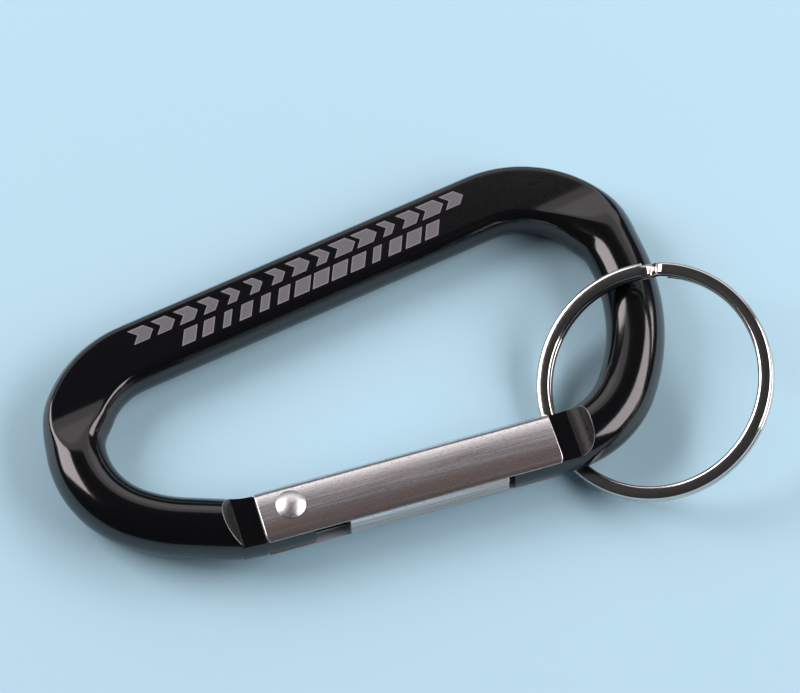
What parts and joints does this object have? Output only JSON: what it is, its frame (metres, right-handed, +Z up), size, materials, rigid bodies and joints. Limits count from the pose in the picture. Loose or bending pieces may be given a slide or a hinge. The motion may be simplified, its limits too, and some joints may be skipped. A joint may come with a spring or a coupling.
{
  "type": "keyring carabiner with split ring",
  "caption": "Small flattened carabiner of bent black aluminium bar with a sprung silver tube gate, carrying a double-turn split ring for keys.",
  "frame": {"origin": "centre of the whole object's footprint, on the surface that it lies on", "axes": "+X along the gate from its hinge to the nose, +Y from the gate across the opening to the spine, +Z up off the surface that the object lies on"},
  "size_m": [0.0888, 0.0504, 0.0136],
  "materials": {
    "black_anodised_aluminium": "black anodised over a polished bar, satin gloss",
    "bare_aluminium": "bright extruded tube, lengthwise draw lines and fine scratches",
    "rivet_aluminium": "satin domed rivet head",
    "turned_steel": "fine turned",
    "spring_wire": "drawn spring wire",
    "nickel_plated_steel": "polished nickel plate"
  },
  "bodies": {
    "frame": {"body": "black_anodised_aluminium"},
    "gate": {"gate_sleeve": "bare_aluminium", "hinge_rivet": "rivet_aluminium", "gate_spring": "spring_wire"},
    "driver": {"plunger": "turned_steel"},
    "ring": {"split_ring": "nickel_plated_steel"}
  },
  "joints": [
    {"name": "gate_hinge", "type": "hinge", "parent": "frame", "child": "gate", "pos_m": [-0.018, -0.01383, 0.00455], "axis": [-0.004, 0.0487, 0.9988], "range_deg": [0, 35], "stiffness_Nm_per_rad": 0.08, "springref_deg": -22.92},
    {"name": "plunger_slide", "type": "slide", "parent": "gate", "child": "driver", "axis": [1, 0.0001, 0.004], "range_m": [0, 0.00065], "deforming": ["gate_spring"]},
    {"name": "ring_lift", "type": "hinge", "parent": "frame", "child": "ring", "pos_m": [0.0179, -0.01456, 0.00146], "axis": [0.3256, -0.9455, 0], "range_deg": [0, 120]}
  ],
  "couplings": [
    {"joint": "plunger_slide", "follows": "gate_hinge", "m_per_rad": 0.00105}
  ]
}
